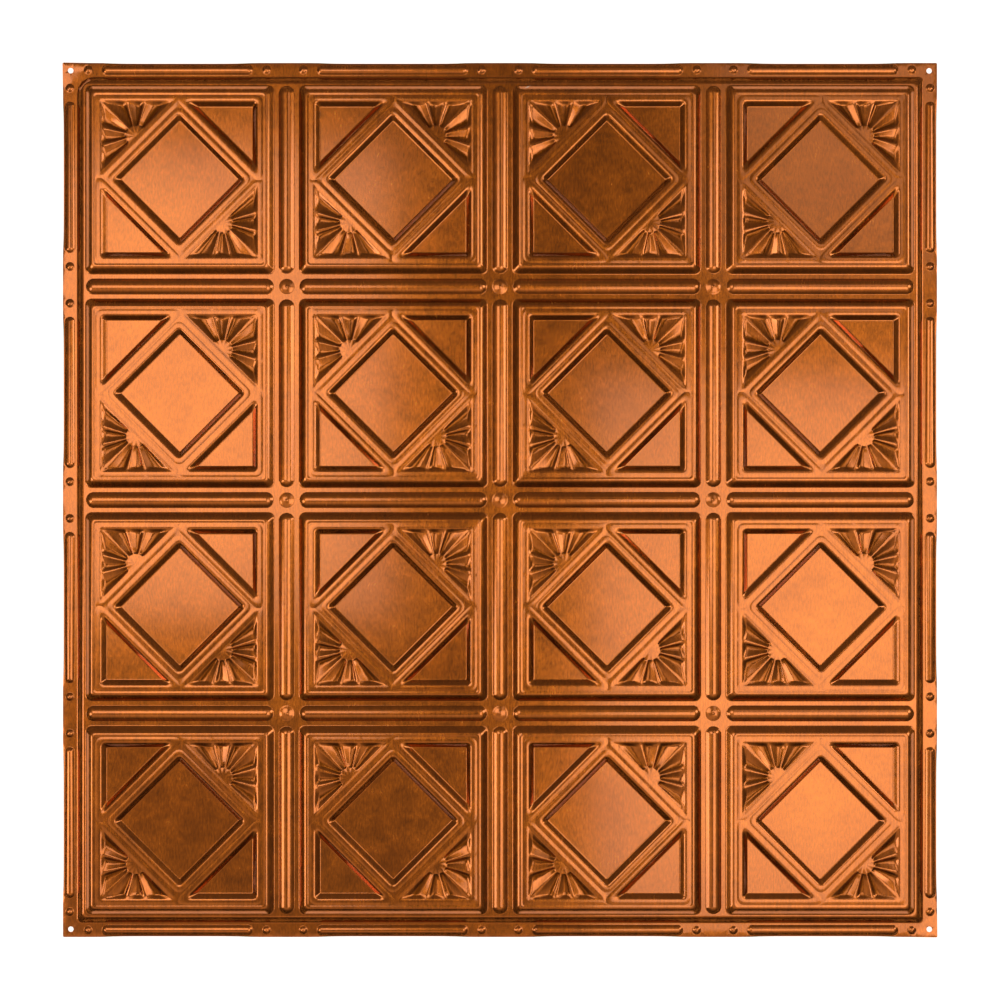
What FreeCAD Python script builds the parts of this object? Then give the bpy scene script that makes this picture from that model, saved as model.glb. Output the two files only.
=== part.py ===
# Pressed tin ceiling tile: one stamped sheet, lying face up on its flange.
# Lengths are millimetres, angles are degrees. The origin is the middle of the back, +Z is the face.
import FreeCAD, Part
import os
import Sketcher

doc = FreeCAD.newDocument("ceiling_tile")

# Driving dimensions
sizes = {
    "gauge": 0.3,                # thickness of the sheet
    "stock_depth": 4.0,          # stock below the flange that the pressing forms are made from
    # raised cells, four by four
    "cell_pitch": 150.8,
    "cell_count": 4,
    "cell_run": 4.3,             # width of the slope round a cell
    "cell_rise": 3.5,
    "frame_width": 6.6,          # flat frame between the slope and the corner panels
    # sunk panels in each cell
    "panel_depth": 3.0,
    "panel_run": 3.2,
    "diamond_half": 46.4,        # middle of a cell to a point of the diamond
    "band_width": 10.3,          # band between the diamond and the corner panels
    # fans in two corners of each cell
    "flute_count": 3,            # flutes to each straight side of a fan
    "ridge_angle": 4.0,          # angle that the ridge between two flutes takes up
    "flute_depth": 3.0,
    "valley_lean": 8.0,          # angle from a flute's middle to its valley, towards the slanted side
    "hub_radius": 7.0,           # middle of a fan to the inner ends of its flutes
    # round-ended bars and studs in the strips between the cells
    "bar_width": 11.0,
    "bar_side_rise": 1.5,        # steep lower part of a bar's side
    "bar_side_run": 1.6,
    "bar_crown_rise": 0.9,       # gentle upper part of a bar's side
    "bar_crown_run": 2.2,
    "rail_width": 3.0,           # flat between a bar and the foot of a cell
    "stud_width": 10.6,
    "stud_rise": 2.0,
    "stud_run": 2.4,
    "stud_gap": 3.9,             # flat between a stud and the end of a bar
    # border slope and flange
    "ledge_width": 3.8,          # flat between the foot of an outer cell and the border slope
    "border_run": 2.8,
    "border_rise": 3.0,
    "flange_width": 9.9,
    # beads and buttons along the middle of the flange
    "bead_width": 7.4,
    "bead_rise": 1.8,
    "bead_run": 2.2,
    "button_width": 6.0,
    "button_rise": 1.5,
    "button_run": 1.6,
    "button_pair": 26.0,         # middle to middle of the two buttons between beads
    "button_gap": 6.7,           # flat between a button and the end of a bead
    # nail holes at the corners
    "hole_width": 3.9,
    "hole_inset": 5.6,           # edge of the sheet to the middle of a hole
}
large_round = 12                 # facets round a stud or the two ends of a bar
small_round = 8                  # facets round a button or the two ends of a bead

dims = doc.addObject("Spreadsheet::Sheet", "Dims")
for row, (alias, value) in enumerate(sizes.items(), 1):
    dims.set(f"A{row}", alias)
    dims.set(f"B{row}", str(value))
    dims.setAlias(f"B{row}", alias)
doc.recompute()

# Levels of the face, and places that follow from the dimensions, as expressions
flange_level = "Dims.gauge"
field_level = "Dims.gauge + Dims.border_rise"
frame_level = "Dims.gauge + Dims.border_rise + Dims.cell_rise"
cell_foot = "(Dims.cell_pitch / 2 - Dims.bar_width / 2 - Dims.rail_width)"
corner_leg = f"({cell_foot} - Dims.cell_run - Dims.frame_width)"
corner_slant = "(Dims.diamond_half + Dims.band_width * sqrt(2))"
last_cell = "(Dims.cell_count - 1) / 2 * Dims.cell_pitch"
last_strip = "(Dims.cell_count / 2 - 1) * Dims.cell_pitch"
bar_half = "(Dims.cell_pitch / 2 - Dims.stud_width / 2 - Dims.stud_gap)"
field_half = f"({last_cell} + {cell_foot} + Dims.ledge_width)"
overall_half = f"({field_half} + Dims.border_run + Dims.flange_width)"
bead_line = f"(Dims.flange_width / 2 - {overall_half})"
bead_pitch = f"((2 * {overall_half} - Dims.flange_width) / Dims.cell_count)"
button_offset = f"({bead_pitch} / 2 - Dims.button_pair / 2)"
bead_half = f"({button_offset} - Dims.button_width / 2 - Dims.button_gap)"
square_signs = ((1, 1), (-1, 1), (-1, -1), (1, -1))
start_of_curve = 1
centre_of_circle = 3


def origin_part(body, role):
    return next(part for part in body.Origin.OriginFeatures if part.Role == role)


def new_sketch(body, name, level):
    sketch = body.newObject("Sketcher::SketchObject", name)
    sketch.AttachmentSupport = [(origin_part(body, "XY_Plane"), "")]
    sketch.MapMode = "FlatFace"
    sketch.setExpression(".AttachmentOffset.Base.z", level)
    return sketch


def number(sketch, expression):
    return float(sketch.evalExpression(expression))


# Hold a point of a curve at a place given by two expressions
def pin(sketch, curve, x, y, point=start_of_curve):
    for kind, text in (("DistanceX", x), ("DistanceY", y)):
        index = sketch.addConstraint(Sketcher.Constraint(kind, -1, 1, curve, point, number(sketch, text)))
        sketch.setExpression(f"Constraints[{index}]", text)


# Closed outline with straight sides through corners given as pairs of expressions
def draw_outline(sketch, corners):
    spots = [FreeCAD.Vector(number(sketch, x), number(sketch, y)) for x, y in corners]
    first = sketch.GeometryCount
    count = len(corners)
    for i in range(count):
        sketch.addGeometry(Part.LineSegment(spots[i], spots[(i + 1) % count]))
    for i in range(count):
        sketch.addConstraint(Sketcher.Constraint("Coincident", first + i, 2, first + (i + 1) % count, 1))
    for i, (x, y) in enumerate(corners):
        pin(sketch, first + i, x, y)


def draw_square(sketch, half):
    draw_outline(sketch, [(f"{sx} * {half}", f"{sy} * {half}") for sx, sy in square_signs])


# Round outline in facets, drawn out along X by half of the straight length
def draw_round(sketch, x, y, radius, straight, facets):
    corners = []
    for i in range(facets):
        turn = f"{(i + 0.5) * 360 / facets} deg"
        end = 1 if i < facets / 4 or i >= facets * 3 / 4 else -1
        across = f"{x} + {end} * ({straight}) + {radius} * cos({turn})"
        corners.append((across, f"{y} + {radius} * sin({turn})"))
    draw_outline(sketch, corners)


# Straight block of stock from below the flange up to a level
def add_stock(body, half, level):
    sketch = new_sketch(body, f"{body.Name}_stock", "-Dims.stock_depth")
    draw_square(sketch, half)
    pad = body.newObject("PartDesign::Pad", f"{body.Name}_block")
    pad.Profile = sketch
    pad.setExpression("Length", f"Dims.stock_depth + {level}")
    doc.recompute()


def raise_form(body, sketch, height, run):
    pad = body.newObject("PartDesign::Pad", f"{sketch.Name}_raised")
    pad.Profile = sketch
    pad.setExpression("Length", height)
    pad.setExpression("TaperAngle", f"-atan({run} / {height})")
    doc.recompute()
    return pad


def sink_form(body, sketch, depth, run):
    pocket = body.newObject("PartDesign::Pocket", f"{sketch.Name}_sunk")
    pocket.Profile = sketch
    pocket.Type = "Length"
    pocket.setExpression("Length", depth)
    pocket.setExpression("TaperAngle", f"-atan({run} / {depth})")
    doc.recompute()


def cut_through(body, sketch):
    pocket = body.newObject("PartDesign::Pocket", f"{sketch.Name}_cut")
    pocket.Profile = sketch
    pocket.Type = "ThroughAll"
    pocket.Refine = False
    doc.recompute()
    return pocket


def linear(body, name, axis, length, count):
    pattern = body.newObject("PartDesign::LinearPattern", name)
    pattern.Direction = (origin_part(body, axis), [""])
    pattern.setExpression("Length", length)
    pattern.setExpression("Occurrences", count)
    return pattern


def turned(body, name, angle, count):
    pattern = body.newObject("PartDesign::PolarPattern", name)
    pattern.Axis = (origin_part(body, "Z_Axis"), [""])
    pattern.Angle = angle
    pattern.Occurrences = count
    return pattern


def repeat(body, name, originals, steps):
    copies = body.newObject("PartDesign::MultiTransform", name)
    copies.Originals = originals
    copies.Transformations = steps
    copies.Refine = False
    body.Tip = copies
    doc.recompute()


# Raised cell: a frame with a sunk diamond and two plain sunk corners on one diagonal
cell = doc.addObject("PartDesign::Body", "cell")
add_stock(cell, cell_foot, field_level)
frame = new_sketch(cell, "frame", field_level)
draw_square(frame, cell_foot)
raise_form(cell, frame, "Dims.cell_rise", "Dims.cell_run")
diamond = new_sketch(cell, "diamond", frame_level)
draw_outline(diamond, [(f"{sx} * Dims.diamond_half", f"{sy} * Dims.diamond_half")
                       for sx, sy in ((1, 0), (0, 1), (-1, 0), (0, -1))])
sink_form(cell, diamond, "Dims.panel_depth", "Dims.panel_run")
corner_end = f"({corner_slant} - {corner_leg})"
for side, side_name in ((1, "right"), (-1, "left")):
    corner = new_sketch(cell, f"corner_{side_name}", frame_level)
    draw_outline(corner, [(f"{side} * {x}", f"{-side} * {y}") for x, y in (
        (corner_leg, corner_leg), (corner_leg, corner_end), (corner_end, corner_leg))])
    sink_form(cell, corner, "Dims.panel_depth", "Dims.panel_run")

# Fans: six flutes spread from the middle of the slanted side to the two straight sides.
# Each flute is a long pit that starts at the hub, widens outwards and is deepest near its outer end.
# Its valley lies off the middle, so a broad face leans towards a narrow steep one.
fan_middle = f"{corner_slant} / 2"
fan_reach = f"({corner_leg} - {fan_middle})"
valley = f"({fan_reach} - Dims.panel_run)"
flute_step = "(90 / Dims.flute_count)"
flute_half = f"({flute_step} / 2 - Dims.ridge_angle / 2)"


def fan_point(side, leg, across, along):
    near = f"{side} * ({fan_middle} + {across})"
    far = f"{side} * ({fan_middle} + {along})"
    return (near, far) if leg == "top" else (far, near)


def add_flute(name, side, leg, step):
    angle = f"({step} * {flute_step} - Dims.valley_lean) * 1 deg"
    edges = [f"({step} * {flute_step} + {way} * {flute_half}) * 1 deg" for way in (-1, 1)]
    rim = new_sketch(cell, name, frame_level)
    inner = [(f"Dims.hub_radius * sin({edge})", f"Dims.hub_radius * cos({edge})") for edge in edges]
    outer = [(f"{fan_reach} * tan({edge})", fan_reach) for edge in reversed(edges)]
    draw_outline(rim, [fan_point(side, leg, across, along) for across, along in inner + outer])
    tip = new_sketch(cell, f"{name}_tip", f"{frame_level} - Dims.flute_depth")
    x, y = fan_point(side, leg, f"{valley} * tan({angle})", valley)
    spot = tip.addGeometry(Part.Point(FreeCAD.Vector(number(tip, x), number(tip, y))))
    pin(tip, spot, x, y)
    doc.recompute()
    flute = cell.newObject("PartDesign::SubtractiveLoft", f"{name}_pressed")
    flute.Profile = rim
    flute.Sections = [(tip, ["Vertex1"])]
    flute.Ruled = True
    doc.recompute()


for side, side_name in ((1, "far"), (-1, "near")):
    for leg in ("top", "side"):
        for place in range(sizes["flute_count"]):
            step = place - (sizes["flute_count"] - 1) / 2
            add_flute(f"flute_{side_name}_{leg}_{place}", side, leg, step)

# Border and strips: the flange, the raised field and the ornaments on both
border = doc.addObject("PartDesign::Body", "border")
strip_count = "Dims.cell_count - 1"
add_stock(border, overall_half, flange_level)
field = new_sketch(border, "field", flange_level)
draw_square(field, f"({field_half} + Dims.border_run)")
raise_form(border, field, "Dims.border_rise", "Dims.border_run")

bar_sections = []
for name, rise, run in (
        ("foot", "0", "0"),
        ("shoulder", "Dims.bar_side_rise", "Dims.bar_side_run"),
        ("crest", "Dims.bar_side_rise + Dims.bar_crown_rise", "(Dims.bar_side_run + Dims.bar_crown_run)")):
    section = new_sketch(border, f"bar_{name}", f"{field_level} + {rise}")
    draw_round(section, f"-{last_cell}", f"-{last_strip}", f"(Dims.bar_width / 2 - {run})",
               f"{bar_half} - Dims.bar_width / 2", large_round)
    bar_sections.append(section)
bar = border.newObject("PartDesign::AdditiveLoft", "bar")
bar.Profile = bar_sections[0]
bar.Sections = bar_sections[1:]
bar.Ruled = True
doc.recompute()
repeat(border, "bars", [bar], [
    linear(border, "bars_along", "X_Axis", f"2 * {last_cell}", "Dims.cell_count"),
    linear(border, "bars_across", "Y_Axis", f"2 * {last_strip}", strip_count),
    turned(border, "bars_turned", 90, 2),
])
stud = new_sketch(border, "stud", field_level)
draw_round(stud, f"-{last_strip}", f"-{last_strip}", "Dims.stud_width / 2", "0", large_round)
repeat(border, "studs", [raise_form(border, stud, "Dims.stud_rise", "Dims.stud_run")], [
    linear(border, "studs_along", "X_Axis", f"2 * {last_strip}", strip_count),
    linear(border, "studs_across", "Y_Axis", f"2 * {last_strip}", strip_count),
])

# Beads along the flange, with a button beyond each end
first_bead = f"-(Dims.cell_count - 1) / 2 * {bead_pitch}"
bead = new_sketch(border, "bead", flange_level)
draw_round(bead, first_bead, bead_line, "Dims.bead_width / 2", f"{bead_half} - Dims.bead_width / 2",
           small_round)
button = new_sketch(border, "button", flange_level)
for side in (1, -1):
    draw_round(button, f"{first_bead} + {side} * {button_offset}", bead_line, "Dims.button_width / 2", "0",
               small_round)
flange_marks = [raise_form(border, bead, "Dims.bead_rise", "Dims.bead_run"),
                raise_form(border, button, "Dims.button_rise", "Dims.button_run")]
repeat(border, "flange_marks", flange_marks, [
    linear(border, "marks_along", "X_Axis", f"(Dims.cell_count - 1) * {bead_pitch}", "Dims.cell_count"),
    turned(border, "marks_turned", 360, len(square_signs)),
])

# Openings in the border that the cells fill, and the nail holes
opening = new_sketch(border, "opening", field_level)
draw_outline(opening, [(f"{sx} * {cell_foot} - {last_cell}", f"{sy} * {cell_foot} - {last_cell}")
                       for sx, sy in square_signs])
hole = new_sketch(border, "hole", flange_level)
for sx, sy in square_signs:
    place = [f"{way} * ({overall_half} - Dims.hole_inset)" for way in (sx, sy)]
    spot = FreeCAD.Vector(*[number(hole, text) for text in place])
    radius = number(hole, "Dims.hole_width / 2")
    circle = hole.addGeometry(Part.Circle(spot, FreeCAD.Vector(0, 0, 1), radius))
    pin(hole, circle, *place, centre_of_circle)
    index = hole.addConstraint(Sketcher.Constraint("Radius", circle, radius))
    hole.setExpression(f"Constraints[{index}]", "Dims.hole_width / 2")
cut_through(border, hole)
repeat(border, "openings", [cut_through(border, opening)], [
    linear(border, "openings_along", "X_Axis", f"2 * {last_cell}", "Dims.cell_count"),
    linear(border, "openings_across", "Y_Axis", f"2 * {last_cell}", "Dims.cell_count"),
])


tiny = 0.001


def looks_up(face):
    low_u, high_u, low_v, high_v = face.ParameterRange
    return face.normalAt((low_u + high_u) / 2, (low_v + high_v) / 2).z > tiny


# A facet with no holes in it, drawn again as a true plane with straight sides
def plain_facet(face):
    if len(face.Wires) > 1:
        return face
    corners = [vertex.Point for vertex in face.OuterWire.OrderedVertexes]
    return Part.Face(Part.makePolygon(corners + corners[:1]))


# Face side of a form: everything on it that looks up
def upper_faces(body):
    return [plain_facet(face) for face in body.Shape.Faces if looks_up(face)]


# The sheet has the joined faces on top, the same faces lowered by the gauge below, and walls at its edges
faces = upper_faces(border)
cell_faces = Part.makeCompound(upper_faces(cell))
count = int(dims.cell_count)
for row in range(count):
    for column in range(count):
        copy = cell_faces.copy()
        copy.rotate(FreeCAD.Vector(), FreeCAD.Vector(0, 0, 1), 90 * ((row + column) % 2))
        steps = [(spot - (count - 1) / 2) * dims.cell_pitch for spot in (column, row)]
        copy.translate(FreeCAD.Vector(*steps))
        faces += copy.Faces
drop = FreeCAD.Vector(0, 0, -dims.gauge)
back = Part.makeCompound(faces)
back.translate(drop)
rims = [face for face in border.Shape.Faces if face.BoundBox.ZMax < dims.gauge + tiny and not looks_up(face)]
rim_edges = [edge for face in rims for edge in face.Edges if edge.BoundBox.ZMin > dims.gauge - tiny]
sheet = Part.makeCompound(faces + back.Faces + [edge.extrude(drop) for edge in rim_edges])
sheet.sewShape()
tile = doc.addObject("Part::Feature", "tile")
tile.Label = "pressed_sheet"
tile.Shape = Part.makeSolid(Part.makeShell(sheet.Faces))

for obj in doc.Objects:
    if "Invalid" in obj.State or "Error" in obj.State:
        raise RuntimeError(f"{obj.Label} did not build: {obj.State}")
if tile.Shape.isNull() or not tile.Shape.isValid() or len(tile.Shape.Solids) != 1:
    raise RuntimeError("the sheet is not one valid solid")
os.makedirs("parts", exist_ok=True)
tile.Shape.exportStep(f"parts/{tile.Label}.step")
print(tile.Label, len(tile.Shape.Faces), "faces", round(tile.Shape.Volume), "mm3", tile.Shape.BoundBox)
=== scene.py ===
import math
import bmesh
import bpy
from mathutils import Matrix, Vector


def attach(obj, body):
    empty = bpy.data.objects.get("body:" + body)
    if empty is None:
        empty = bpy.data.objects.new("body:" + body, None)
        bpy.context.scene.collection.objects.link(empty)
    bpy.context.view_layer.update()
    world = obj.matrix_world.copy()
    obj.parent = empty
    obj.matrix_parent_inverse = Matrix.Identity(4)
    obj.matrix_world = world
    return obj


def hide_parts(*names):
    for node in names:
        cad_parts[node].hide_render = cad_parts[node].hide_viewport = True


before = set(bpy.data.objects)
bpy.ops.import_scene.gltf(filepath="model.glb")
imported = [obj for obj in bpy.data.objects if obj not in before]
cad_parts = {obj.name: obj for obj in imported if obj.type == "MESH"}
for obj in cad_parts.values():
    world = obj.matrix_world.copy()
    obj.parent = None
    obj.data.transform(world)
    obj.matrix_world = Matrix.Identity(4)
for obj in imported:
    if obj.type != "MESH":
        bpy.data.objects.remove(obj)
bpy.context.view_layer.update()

mm = 0.001                      # the relief is drawn in millimetres and scaled at the end
touch, fine = 1e-3, 1e-4        # points this close are one place, cuts and levels closer still
scene = bpy.context.scene


# pressing, shared by every raised or sunk form

pressing = {
    "loopLand": 0.2, "roundLand": 0.4,      # flat left round a form, so the shading stays even
    "cornerSegments": 4, "steps": 5,
    "fullness": 0.9, "crown": 2.0,          # how far a round form goes in, and how quickly it levels off
}


def upFace(face):
    face.normal_update()
    if face.normal.z < 0:
        face.normal_flip()
    return face


def roundedFace(bm, corners, radii, level, segments=pressing["cornerSegments"]):
    verts = [bm.verts.new((x, y, level)) for x, y in corners]
    bm.faces.new(verts)
    for v, radius in zip(verts, radii):
        made = bmesh.ops.bevel(bm, geom=[v], affect="VERTICES", offset=radius, offset_type="OFFSET",
                               segments=segments, profile=0.5, material=-1)
    return upFace(made["verts"][0].link_faces[0])


def roundFace(bm, radius, level, at, segments, land=pressing["roundLand"]):
    made = bmesh.ops.create_circle(bm, cap_ends=True, radius=radius + land, segments=segments)
    bmesh.ops.rotate(bm, cent=(0.0, 0.0, 0.0), matrix=Matrix.Rotation(math.pi / segments, 3, "Z"),
                     verts=made["verts"])
    bmesh.ops.translate(bm, vec=(at[0], at[1], level), verts=made["verts"])
    return upFace(made["verts"][0].link_faces[0])


def drawOut(face, line, reach):
    middle = face.calc_center_median()[line]
    for v in face.verts:                    # a round drawn out to a round-ended bar
        v.co[line] += reach if v.co[line] > middle else -reach


def openFace(bm, face):
    bmesh.ops.delete(bm, geom=[face], context="FACES_ONLY")


def insetFlat(bm, face, width):
    bmesh.ops.inset_region(bm, faces=[face], thickness=width, use_even_offset=True, use_boundary=True)


def pressLoops(bm, cornersAt, radiiAt, level, profile, floor):
    land = pressing["loopLand"]
    start = profile[0][0] - land
    face = roundedFace(bm, cornersAt(start), radiiAt(start), level)
    insetFlat(bm, face, land)
    last = list(face.edges)
    openFace(bm, face)
    for step, (inward, upward) in enumerate(profile[1:], 2):
        face = roundedFace(bm, cornersAt(inward), radiiAt(inward), level + upward)
        loop = list(face.edges)
        if step < len(profile):
            openFace(bm, face)
        bmesh.ops.bridge_loops(bm, edges=last + loop)
        last = loop
    insetFlat(bm, face, land)
    if not floor:
        openFace(bm, face)


def pressRound(bm, face, width, rise, steps=pressing["steps"]):
    insetFlat(bm, face, pressing["roundLand"])              # the outline is drawn one land wider than the form
    last = Vector((0.0, 0.0))
    for i in range(1, steps + 1):
        part = pressing["fullness"] * i / steps
        point = Vector((width * part, rise * (1.0 - (1.0 - part) ** pressing["crown"])))
        move = point - last
        bmesh.ops.inset_region(bm, faces=[face], thickness=move.x, depth=move.y,
                               use_even_offset=True, use_boundary=True)
        last = point


def fillFlat(bm, level):
    rims = [e for e in bm.edges if len(e.link_faces) < 2
            and all(abs(v.co.z - level) < fine for v in e.verts)]
    bmesh.ops.triangle_fill(bm, use_beauty=True, edges=rims, normal=(0.0, 0.0, 1.0))


def squareCorners(half):
    return ((-half, -half), (half, -half), (half, half), (-half, half))


def inLine(count, pitch):
    return [pitch * (i - (count - 1) / 2) for i in range(count)]


def onLine(line, along, across):            # line 0 runs in x, line 1 in y
    return (along, across) if line == 0 else (across, along)


def keepMesh(bm, name):
    mesh = bpy.data.meshes.new(name)
    bm.to_mesh(mesh)
    bm.free()
    return mesh


# one cell of the relief: frame, diamond, two plain corners, two fans

cellForm = {
    "foot": 66.9, "footRadius": 4.4, "footTaper": 0.35, "rise": 3.5, "groove": 0.18,
    # foot of the cell up to the crest of its frame, then into the groove inside it: inward, upward
    "slope": ((0.0, 0.0), (0.4, 0.1), (0.8, 0.36), (1.3, 0.75), (1.9, 1.22), (2.5, 1.69), (3.1, 2.15),
              (3.7, 2.58), (4.3, 2.95), (4.9, 3.25), (5.5, 3.44), (6.1, 3.5), (6.6, 3.46), (7.3, 3.32)),
    # groove, over the rim of a sunk panel, down to the panel's floor: inward, upward
    "wall": ((0.0, 0.0), (0.6, 0.08), (1.1, 0.14), (1.7, 0.17), (2.5, 0.18), (3.2, 0.14), (3.8, 0.02),
             (4.3, -0.2), (4.8, -0.55), (5.3, -0.95), (5.9, -1.45), (6.5, -1.96), (7.0, -2.38), (7.3, -2.62),
             (7.55, -2.76), (7.9, -2.82)),
    "diamondFloor": 41.1, "cornerFloor": 51.2, "slantFloor": 64.63,
    "floorRadius": 0.6, "squareGrowth": 0.55, "sharpGrowth": 1.15,      # corners grow rounder from floor to rim
    "flutes": 6, "spokes": (0.0, 0.14, 0.42, 0.7, 0.86), "valleyAt": 0.7, "fanMiddle": 30.48,
    "fluteStart": 1.6, "fluteDepth": 2.65, "ridgeDrop": 0.08, "ridgeHalf": 0.5, "fanCorner": 4.5,
    "deepBefore": 5.0, "fluteLeast": 0.2, "hubRound": 0.5, "bandClear": 1.0,
    "fanRings": (1.5, 6.6, 7.4, 8.4, 12.0, 20.0, 42.0),
    "fanCuts": (0.0, 1.6, 3.0, 3.8, 4.6, 5.4, 6.3, 7.2),
    "fanBack": (0.7, 1.6, 2.8, 4.0, 5.3),
}


def wallHeight(away):
    points = cellForm["wall"]
    for (x0, z0), (x1, z1) in zip(points, points[1:]):
        if away < x1:
            return z0 + (z1 - z0) * max(away - x0, 0.0) / (x1 - x0)
    return points[-1][1]


def fanEdge():
    deep = cellForm["wall"][-1][0]
    return cellForm["cornerFloor"] + deep, cellForm["slantFloor"] - deep * math.sqrt(2.0)


def fanTurn(x, y):
    middle = cellForm["fanMiddle"]
    return abs(math.degrees(math.atan2(y - middle, x - middle)) - 45.0)      # 0 on the corner's diagonal


def fanHeight(x, y):
    leg, slant = fanEdge()
    middle, rings = cellForm["fanMiddle"], cellForm["fanRings"]
    reach = math.hypot(x - middle, y - middle)
    pitch = 180.0 / cellForm["flutes"]
    across = fanTurn(x, y) / pitch % 1.0
    if across > 0.9999 or fanTurn(x, y) > 89.99:            # on a ridge
        across = 0.0
    arc, half = math.radians(pitch) * reach, cellForm["ridgeHalf"]
    broad, steep = cellForm["valleyAt"], 1.0 - cellForm["valleyAt"]
    share = min(across / broad, (1.0 - across) / steep)
    width = arc * (broad if across < broad else steep)
    along = min(max((reach - rings[2]) / (leg - middle - cellForm["deepBefore"] - rings[2]), 0.0), 1.0)
    rounder = 1.0 + cellForm["hubRound"] * (1.0 - along)        # flutes are rounder near the hub
    side = max(share * width - half, 0.0) / max(width - half, cellForm["fluteLeast"]) * rounder
    depth = cellForm["fluteStart"] + (cellForm["fluteDepth"] - cellForm["fluteStart"]) * along
    hub = min(max((reach - rings[1]) / (rings[3] - rings[1]), 0.0), 1.0)
    flute = -cellForm["ridgeDrop"] - min(side, 1.0) * depth * hub
    right, top, corner = leg - x, leg - y, cellForm["fanCorner"]
    away = min(right, top)
    if max(right, top) < corner:
        away = corner - math.hypot(corner - right, corner - top)
    return max(flute, wallHeight(min(away, (x + y - slant) / math.sqrt(2.0))))


def makeFan(level):
    leg = fanEdge()[0]
    middle = Vector((cellForm["fanMiddle"], cellForm["fanMiddle"], level))
    heading = Vector((1.0, -1.0, 0.0)).normalized()
    each = len(cellForm["spokes"])
    bm = bmesh.new()
    points = [bm.verts.new(middle + heading * r) for r in cellForm["fanRings"]]
    spokes = [bm.edges.new(pair) for pair in zip(points, points[1:])]
    bmesh.ops.spin(bm, geom=points + spokes, cent=middle, axis=(0.0, 0.0, 1.0), dvec=(0.0, 0.0, 0.0),
                   angle=math.pi, steps=cellForm["flutes"] * each)
    for v in bm.verts:                                   # spokes drawn together at the valleys
        arm = v.co - middle
        step = round(fanTurn(v.co.x, v.co.y) * each * cellForm["flutes"] / 180.0)
        turn = math.radians(step // each + cellForm["spokes"][step % each]) * 180.0 / cellForm["flutes"]
        side = 1.0 if arm.y > arm.x else -1.0
        heading = math.radians(45.0) + side * turn
        v.co = middle + arm.length * Vector((math.cos(heading), math.sin(heading), 0.0))
    hub = [v for v in bm.verts if (v.co - middle).length < cellForm["fanRings"][0] + touch]
    bmesh.ops.contextual_create(bm, geom=hub)
    for side in (Vector((1.0, 0.0, 0.0)), Vector((0.0, 1.0, 0.0))):
        for back in cellForm["fanCuts"]:                 # first cut trims, the rest follow the end walls
            bmesh.ops.bisect_plane(bm, geom=bm.verts[:] + bm.edges[:] + bm.faces[:], dist=fine,
                                   plane_co=side * (leg - back), plane_no=side, clear_outer=back == 0.0)
    bmesh.ops.remove_doubles(bm, verts=bm.verts[:], dist=2 * touch)
    line = [e for e in bm.edges if len(e.link_faces) == 1
            and all(abs(v.co.x + v.co.y - 2 * middle.x) < touch for v in e.verts)]
    gone, reach = 0.0, (leg - middle.x) * math.sqrt(2.0)
    for back in cellForm["fanBack"]:                     # from the middle of the rays back to the band's groove
        made = bmesh.ops.extrude_edge_only(bm, edges=line)["geom"]
        line = [g for g in made if isinstance(g, bmesh.types.BMEdge)]
        row = [g for g in made if isinstance(g, bmesh.types.BMVert)]
        move = (gone - back) / math.sqrt(2.0)
        bmesh.ops.translate(bm, vec=(move, move, 0.0), verts=row)
        room = middle.x * math.sqrt(2.0) - cellForm["bandClear"] - back      # clear of the next corner
        for v in row:
            slide = (v.co.x - v.co.y) * 0.5 * (min(room / reach, 1.0) - 1.0)
            v.co.x, v.co.y = v.co.x + slide, v.co.y - slide
        gone, reach = back, min(room, reach)
    for v in bm.verts:
        v.co.z = level + (0.0 if v.is_boundary else fanHeight(v.co.x, v.co.y))
    for f in bm.faces:
        upFace(f)
    return keepMesh(bm, "fan")


def makePlainCorner(level):
    leg, slant = cellForm["cornerFloor"], cellForm["slantFloor"]
    deep = cellForm["wall"][-1][0]

    def cornersAt(inward):
        x, total = leg + deep - inward, slant - (deep - inward) * math.sqrt(2.0)
        return ((x, total - x), (x, x), (total - x, x))

    def radiiAt(inward):
        square = cellForm["floorRadius"] + (deep - inward) * cellForm["squareGrowth"]
        sharp = cellForm["floorRadius"] + (deep - inward) * cellForm["sharpGrowth"]
        return sharp, square, sharp

    bm = bmesh.new()
    pressLoops(bm, cornersAt, radiiAt, level, cellForm["wall"], floor=True)
    return keepMesh(bm, "plainCorner")


def addMesh(bm, mesh, place):
    copy = mesh.copy()
    copy.transform(place)
    bm.from_mesh(copy)
    bpy.data.meshes.remove(copy)


def makeCell(level):
    top = level + cellForm["rise"] - cellForm["groove"]
    deep = cellForm["wall"][-1][0]

    def footCorners(inward):
        return squareCorners(cellForm["foot"] - inward)

    def footRadii(inward):
        return (cellForm["footRadius"] - cellForm["footTaper"] * inward,) * 4

    def diamondCorners(inward):
        point = cellForm["diamondFloor"] + (deep - inward) * math.sqrt(2.0)
        return ((0.0, -point), (point, 0.0), (0.0, point), (-point, 0.0))

    def diamondRadii(inward):
        return (cellForm["floorRadius"] + (deep - inward) * cellForm["squareGrowth"],) * 4

    bm = bmesh.new()
    pressLoops(bm, footCorners, footRadii, level, cellForm["slope"], floor=False)
    pressLoops(bm, diamondCorners, diamondRadii, top, cellForm["wall"], floor=True)
    fan, plain = makeFan(top), makePlainCorner(top)
    for quarter, mesh in enumerate((fan, plain, fan, plain)):
        addMesh(bm, mesh, Matrix.Rotation(quarter * math.pi / 2, 4, "Z"))
    fillFlat(bm, top)
    print("cell pressed:", len(bm.faces), "faces")
    return keepMesh(bm, "cell")


# the whole sheet

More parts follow.
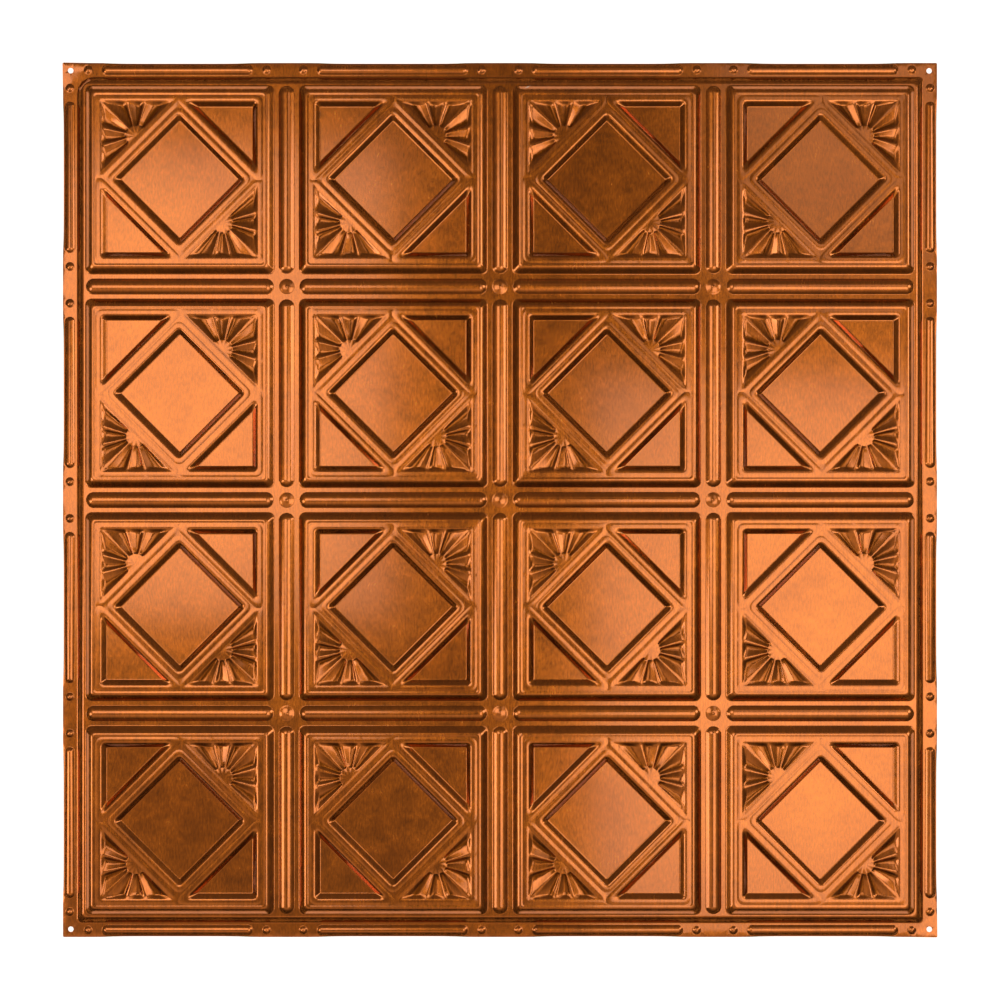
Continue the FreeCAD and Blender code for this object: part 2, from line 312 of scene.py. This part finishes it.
sheetForm = {
    "gauge": 0.3, "cells": 4, "pitch": 150.8, "flange": 0.3, "field": 3.3,
    "borderFoot": 299.7, "borderRadius": 3.0, "bentCorner": 12.0, "outerHalf": 309.57,
    # flange up to the field: inward, upward
    "border": ((0.0, 0.0), (0.5, 0.1), (0.9, 0.32), (1.6, 0.8), (2.4, 1.36), (3.2, 1.92), (4.0, 2.43),
               (4.7, 2.77), (5.2, 2.93), (5.7, 3.0)),
    "barHalf": 66.2, "barWidth": 5.5, "barRise": 2.2, "barSegments": 16, "barSteps": 6,
    "studRadius": 5.3, "studRise": 1.1, "studSegments": 20, "pip": (0.2, 0.15),
    "beads": 4, "beadLine": 304.65, "beadPitch": 152.33, "beadHalf": 53.46, "beadWidth": 3.7, "beadRise": 1.6,
    "beadSegments": 14, "buttonOut": 63.16, "buttonRadius": 3.0, "buttonRise": 1.3, "buttonSegments": 12,
    "buttonSteps": 4, "holeAt": 304.0, "holeRadius": 1.95, "holeSegments": 20,
    "rimRadius": 0.8, "rimSegments": 2, "rimCuts": 88, "drawIn": 0.55, "drawShape": 6,
    "creases": ((-1, 1, 0.10), (1, -1, 0.08)), "creaseAt": 300.05,     # bent corners: which corner, how steeply
    "hollowReach": 3.0, "hollowGain": 2.0,                             # how hollow a place is: the lacquer's colour is darkened there as painted shade and settled dirt, and its coat dulled
}


def pressStrips(bm, places):
    s = sheetForm
    strips = inLine(s["cells"] - 1, s["pitch"])
    for strip in strips:
        for place in places:
            for line in (0, 1):
                bar = roundFace(bm, s["barWidth"], s["field"], onLine(line, place, strip), s["barSegments"])
                drawOut(bar, line, s["barHalf"] - s["barWidth"])
                pressRound(bm, bar, s["barWidth"], s["barRise"], s["barSteps"])
        for other in strips:
            stud = roundFace(bm, s["studRadius"], s["field"], (strip, other), s["studSegments"])
            pressRound(bm, stud, s["studRadius"], s["studRise"])
            bmesh.ops.inset_region(bm, faces=[stud], thickness=s["pip"][0], depth=s["pip"][1],
                                   use_even_offset=True)


def pressFlange(bm):
    s = sheetForm
    for side in (-1, 1):
        across = side * s["beadLine"]
        for place in inLine(s["beads"], s["beadPitch"]):
            for line in (0, 1):
                at = onLine(line, place, across)
                bead = roundFace(bm, s["beadWidth"], s["flange"], at, s["beadSegments"])
                drawOut(bead, line, s["beadHalf"] - s["beadWidth"])
                pressRound(bm, bead, s["beadWidth"], s["beadRise"])
                for out in (-1, 1):
                    at = onLine(line, place + out * s["buttonOut"], across)
                    button = roundFace(bm, s["buttonRadius"], s["flange"], at, s["buttonSegments"])
                    pressRound(bm, button, s["buttonRadius"], s["buttonRise"], s["buttonSteps"])
        for other in (-1, 1):
            at = (side * s["holeAt"], other * s["holeAt"])
            openFace(bm, roundFace(bm, s["holeRadius"], s["flange"], at, s["holeSegments"], land=0.0))


def cutRim(bm):
    s = sheetForm
    beads = inLine(s["beads"], s["beadPitch"])
    rim = roundedFace(bm, squareCorners(s["outerHalf"]), (s["rimRadius"],) * 4, s["flange"], s["rimSegments"])
    sides = [e for e in rim.edges if e.calc_length() > s["outerHalf"]]
    openFace(bm, rim)
    bmesh.ops.subdivide_edges(bm, edges=sides, cuts=s["rimCuts"])
    for v in bm.verts:                      # pressing the beads has drawn the edge in beside them
        out = 0 if abs(v.co.x) > abs(v.co.y) else 1
        if abs(v.co[out]) > s["outerHalf"] - touch:
            along = v.co[1 - out]
            near = min(abs(along - place) for place in beads) / s["beadHalf"]
            drawn = s["drawIn"] * max(1.0 - near ** s["drawShape"], 0.0)
            v.co[out] -= math.copysign(drawn, v.co[out])


def makeSheet():
    s = sheetForm
    places = inLine(s["cells"], s["pitch"])

    def borderCorners(inward):
        return squareCorners(s["borderFoot"] - inward)

    def borderRadii(inward):                # one corner's foot is cut across where the sheet is bent
        bent = s["bentCorner"] + (s["borderRadius"] - s["bentCorner"]) * inward / s["border"][-1][0]
        return s["borderRadius"], s["borderRadius"], s["borderRadius"], bent

    bm = bmesh.new()
    pressLoops(bm, borderCorners, borderRadii, s["flange"], s["border"], floor=False)
    pressStrips(bm, places)
    pressFlange(bm)
    cutRim(bm)
    print("border and strips pressed:", len(bm.faces), "faces")
    cell = makeCell(s["field"])
    for row, y in enumerate(places):
        for column, x in enumerate(places):
            turn = Matrix.Rotation(math.pi / 2 * ((row + column) % 2), 4, "Z")
            addMesh(bm, cell, Matrix.Translation((x, y, 0.0)) @ turn)
    fillFlat(bm, s["field"])
    fillFlat(bm, s["flange"])
    bmesh.ops.remove_doubles(bm, verts=bm.verts[:], dist=touch)
    for x, y, steep in s["creases"]:
        across, start = Vector((x, y, 0.0)).normalized(), s["creaseAt"] * Vector((x, y, 0.0))
        bmesh.ops.bisect_plane(bm, geom=bm.verts[:] + bm.edges[:] + bm.faces[:], dist=fine,
                               plane_co=start, plane_no=across)
        for v in bm.verts:
            v.co.z += steep * max((v.co - start).dot(across), 0.0)
    for f in bm.faces:                      # the skin is pressed from one side, so every face looks up
        upFace(f).smooth = True
    hollowShadeAndDirt = bm.verts.layers.float.new("hollowShadeAndDirt")
    for v in bm.verts:                      # dirt and lacquer settle in the hollows, and the colour is darkened there as painted shade too
        rises = [(e.other_vert(v).co.z - v.co.z) / e.calc_length()
                 for e in v.link_edges if e.calc_length() < s["hollowReach"]]
        v[hollowShadeAndDirt] = min(max(s["hollowGain"] * sum(rises) / max(len(rises), 1), 0.0), 1.0)
    bmesh.ops.scale(bm, vec=(mm, mm, mm), verts=bm.verts[:])
    loose = [e for e in bm.edges if len(e.link_faces) != 2]
    print("sheet:", len(bm.faces), "faces", sum(len(f.verts) - 2 for f in bm.faces), "triangles a side,",
          len(loose), "open edges")
    piece = bpy.data.objects.new("pressedSheet", keepMesh(bm, "pressedSheet"))
    scene.collection.objects.link(piece)
    wall = piece.modifiers.new("gauge", "SOLIDIFY")
    wall.thickness = s["gauge"] * mm
    wall.offset = -1.0
    shading = piece.modifiers.new("evenShading", "WEIGHTED_NORMAL")
    shading.mode = "FACE_AREA"
    return piece


# copper lacquer on the tin

lacquer = {
    "deep": (0.57, 0.132, 0.009, 1.0), "clear": (0.82, 0.208, 0.014, 1.0), "bare": (0.80, 0.70, 0.62, 1.0),
    "coat": 0.6, "coatRoughness": 0.12, "coatIndex": 1.8,
    # scale and detail of each pattern, then how far it moves the colour
    "cloud": (17.0, 4.0), "mottle": (95.0, 3.0), "dings": (30.0, 1.5),
    "grain": (950.0, 240.0, 240.0), "grainDetail": 2.0, "noiseSpan": (0.3, 0.7),
    # the tone in the hollows is painted shade together with settled dirt
    "cloudTone": (0.5, 1.0), "mottleTone": (0.88, 1.08), "grainTone": (0.83, 1.13), "paintedShadeAndDirtTone": 0.35,
    "roughness": (0.20, 0.26), "grainRoughness": (-0.015, 0.02), "dingHeight": 0.00016,
    "scratchAt": (0.0198, 0.2919, 0.0036), "scratchSize": (0.0030, 0.0005, 0.01), "scratchTurn": 0.5,
}


def addNode(tree, kind, sockets=None, **settings):
    made = tree.nodes.new(kind)
    for name, value in settings.items():
        setattr(made, name, value)
    for name, value in (sockets or {}).items():
        if isinstance(value, bpy.types.NodeSocket):
            tree.links.new(value, made.inputs[name])
        else:
            made.inputs[name].default_value = value
    return made


def spread(tree, value, low, high):
    least, most = lacquer["noiseSpan"]
    made = addNode(tree, "ShaderNodeMapRange", {"Value": value, "From Min": least, "From Max": most,
                                                "To Min": low, "To Max": high})
    return made.outputs["Result"]


def addNoise(tree, place, scale, detail):
    made = addNode(tree, "ShaderNodeTexNoise", {"Vector": place, "Scale": scale, "Detail": detail})
    return made.outputs["Fac"]


def makeLacquer():
    k = lacquer
    mat = bpy.data.materials.new("copperLacquer")
    mat.use_nodes = True
    tree = mat.node_tree
    skin = tree.nodes["Principled BSDF"]
    place = addNode(tree, "ShaderNodeTexCoord").outputs["Object"]
    cloud = addNoise(tree, place, *k["cloud"])
    mottle = addNoise(tree, place, *k["mottle"])
    brush = addNode(tree, "ShaderNodeMapping", {"Vector": place, "Scale": k["grain"]})
    grain = addNoise(tree, brush.outputs["Vector"], 1.0, k["grainDetail"])
    dings = addNoise(tree, place, *k["dings"])
    hollow = addNode(tree, "ShaderNodeAttribute", attribute_name="hollowShadeAndDirt").outputs["Fac"]

    # colour: cloudy coat, mottled, streaked by the rollers, darker in the hollows as painted shade and settled
    # dirt, one bare scratch
    clouds = spread(tree, cloud, *k["cloudTone"])
    coat = addNode(tree, "ShaderNodeMix", {0: clouds, 6: k["deep"], 7: k["clear"]}, data_type="RGBA")
    # painted shade: the colour is darkened in the hollows for the shade that falls there, as well as for
    # settled dirt
    paintedShadeAndDirt = addNode(tree, "ShaderNodeMapRange", {"Value": hollow, "To Min": 1.0, "To Max": k["paintedShadeAndDirtTone"]})
    tones = [spread(tree, mottle, *k["mottleTone"]), spread(tree, grain, *k["grainTone"]),
             paintedShadeAndDirt.outputs["Result"]]
    colour = coat.outputs[2]
    for tone in tones:
        toned = addNode(tree, "ShaderNodeVectorMath", {0: colour, "Scale": tone}, operation="SCALE")
        colour = toned.outputs["Vector"]
    turn = addNode(tree, "ShaderNodeMapping", {"Vector": place, "Location": k["scratchAt"],
                                               "Rotation": (0.0, 0.0, k["scratchTurn"]),
                                               "Scale": k["scratchSize"]}, vector_type="TEXTURE")
    scratch = addNode(tree, "ShaderNodeTexGradient", {"Vector": turn.outputs["Vector"]},
                      gradient_type="SPHERICAL").outputs["Fac"]
    worn = addNode(tree, "ShaderNodeMix", {0: scratch, 6: colour, 7: k["bare"]}, data_type="RGBA")
    tree.links.new(worn.outputs[2], skin.inputs["Base Color"])

    # gloss: uneven, and dull where dirt has settled
    rough = addNode(tree, "ShaderNodeMath", {0: spread(tree, mottle, *k["roughness"]),
                                             1: spread(tree, grain, *k["grainRoughness"])}, operation="ADD")
    tree.links.new(rough.outputs[0], skin.inputs["Roughness"])
    waves = addNode(tree, "ShaderNodeBump", {"Height": dings, "Distance": k["dingHeight"]})
    tree.links.new(waves.outputs["Normal"], skin.inputs["Normal"])
    gloss = addNode(tree, "ShaderNodeMapRange", {"Value": hollow, "To Min": k["coat"], "To Max": 0.0})
    tree.links.new(gloss.outputs["Result"], skin.inputs["Coat Weight"])
    skin.inputs["Metallic"].default_value = 1.0
    skin.inputs["Coat Roughness"].default_value = k["coatRoughness"]
    skin.inputs["Coat IOR"].default_value = k["coatIndex"]
    print("lacquer ready")
    return mat


# floor, lights and camera

studio = {
    "cameraHeight": 1.25, "frameWidth": 0.7085,
    # softboxes beside the camera, then small lamps further out: place, size, glow
    "softboxes": (((-0.6, 0.19, 1.6), (0.84, 0.76), 1.35), ((0.6, -0.26, 1.6), (0.9, 0.92), 1.3),
                  ((0.6, 0.62, 1.6), (0.5, 0.5), 0.5)),
    "lamps": (((-1.6, -0.5, 1.3), (0.7, 0.7), 2.2), ((1.6, 0.35, 1.3), (0.7, 0.7), 2.2)),
    # glow of the room from the horizon to straight up: height, high part, low part
    "room": ((0.0, 0.0, 0.0), (0.15, 0.0, 0.005), (0.23, 0.0, 0.07), (0.36, 0.0, 0.10), (0.48, 0.02, 0.09),
             (0.60, 0.08, 0.08), (0.70, 0.16, 0.04), (0.78, 0.34, 0.0), (0.90, 0.38, 0.0), (0.96, 0.15, 0.0),
             (1.0, 0.13, 0.0)),
    "roomColour": (1.0, 0.86, 0.56, 1.0),
    "highLean": (-0.2, -0.75, 0.0), "lowLean": (0.1, 0.5, 0.0),      # which way each part is brighter
    # the floor's far edge sweeps up, so that low views stay pale
    "floorReach": 40.0, "floorRim": (1.25, 3.0), "floorSegments": 48, "floorDrop": 0.0002,
    "floorColour": (0.85, 0.85, 0.85, 1.0), "floorRoughness": 0.9, "floorGlow": 0.8,
}


def makeFloor():
    bm = bmesh.new()
    bmesh.ops.create_circle(bm, cap_ends=True, radius=studio["floorReach"], segments=studio["floorSegments"])
    grown, lift = studio["floorRim"]
    rim = bmesh.ops.extrude_edge_only(bm, edges=bm.edges[:])["geom"]
    rim = [g for g in rim if isinstance(g, bmesh.types.BMVert)]
    bmesh.ops.scale(bm, vec=(grown, grown, 1.0), verts=rim)
    bmesh.ops.translate(bm, vec=(0.0, 0.0, lift), verts=rim)
    floor = bpy.data.objects.new("floor", keepMesh(bm, "floor"))
    floor.location.z = -studio["floorDrop"]
    scene.collection.objects.link(floor)
    mat = bpy.data.materials.new("paleFloor")
    mat.use_nodes = True
    tree = mat.node_tree
    skin = tree.nodes["Principled BSDF"]
    skin.inputs["Base Color"].default_value = studio["floorColour"]
    skin.inputs["Roughness"].default_value = studio["floorRoughness"]
    path = addNode(tree, "ShaderNodeLightPath").outputs
    seen = path["Is Camera Ray"]
    for ray in (path["Is Glossy Ray"], path["Is Transmission Ray"]):
        seen = addNode(tree, "ShaderNodeMath", {0: seen, 1: ray}, operation="MAXIMUM").outputs[0]
    glow = addNode(tree, "ShaderNodeMath", {0: seen, 1: studio["floorGlow"]}, operation="MULTIPLY")
    skin.inputs["Emission Color"].default_value = (1.0, 1.0, 1.0, 1.0)
    tree.links.new(glow.outputs[0], skin.inputs["Emission Strength"])
    floor.data.materials.append(mat)


def makeLights():
    for place, size, glow in studio["softboxes"] + studio["lamps"]:
        lamp = bpy.data.lights.new("softbox", "AREA")
        lamp.shape = "RECTANGLE"
        lamp.size, lamp.size_y = size
        lamp.energy = glow * math.pi * size[0] * size[1]           # the box itself then looks as bright as glow
        box = bpy.data.objects.new("softbox", lamp)
        box.location = place
        if (place, size, glow) in studio["lamps"]:                 # these turn to the tile
            box.rotation_euler = Vector(place).to_track_quat("Z", "Y").to_euler()
        box.visible_camera = False
        scene.collection.objects.link(box)


def makeRoom():
    world = bpy.data.worlds.new("studio")
    scene.world = world
    world.use_nodes = True
    tree = world.node_tree
    back = tree.nodes["Background"]
    back.inputs["Color"].default_value = studio["roomColour"]
    way = addNode(tree, "ShaderNodeTexCoord").outputs["Generated"]
    height = addNode(tree, "ShaderNodeSeparateXYZ", {0: way}).outputs["Z"]
    room = addNode(tree, "ShaderNodeValToRGB", {"Fac": height})
    stops = room.color_ramp.elements
    while len(stops) < len(studio["room"]):
        stops.new(1.0)
    for stop, (level, high, low) in zip(stops, studio["room"]):
        stop.position, stop.color = level, (high, low, 0.0, 1.0)
    parts = addNode(tree, "ShaderNodeSeparateColor", {0: room.outputs["Color"]}).outputs
    glow = 0.0
    for part, lean in ((parts["Red"], studio["highLean"]), (parts["Green"], studio["lowLean"])):
        side = addNode(tree, "ShaderNodeVectorMath", {0: way, 1: lean}, operation="DOT_PRODUCT")
        more = addNode(tree, "ShaderNodeMath", {0: side.outputs["Value"], 1: 1.0}, operation="ADD")
        glow = addNode(tree, "ShaderNodeMath", {0: part, 1: more.outputs[0], 2: glow},
                       operation="MULTIPLY_ADD").outputs[0]
    tree.links.new(glow, back.inputs["Strength"])


def makeCamera():
    eye = bpy.data.cameras.new("camera")
    eye.lens = eye.sensor_width * studio["cameraHeight"] / studio["frameWidth"]
    camera = bpy.data.objects.new("camera", eye)
    camera.location = (0.0, 0.0, studio["cameraHeight"])
    scene.collection.objects.link(camera)
    scene.camera = camera
    scene.view_settings.view_transform = "Standard"


sheet = makeSheet()
sheet.data.materials.append(makeLacquer())
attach(sheet, "root")
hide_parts("pressed_sheet")
makeFloor()
makeLights()
makeRoom()
makeCamera()
print("studio ready")
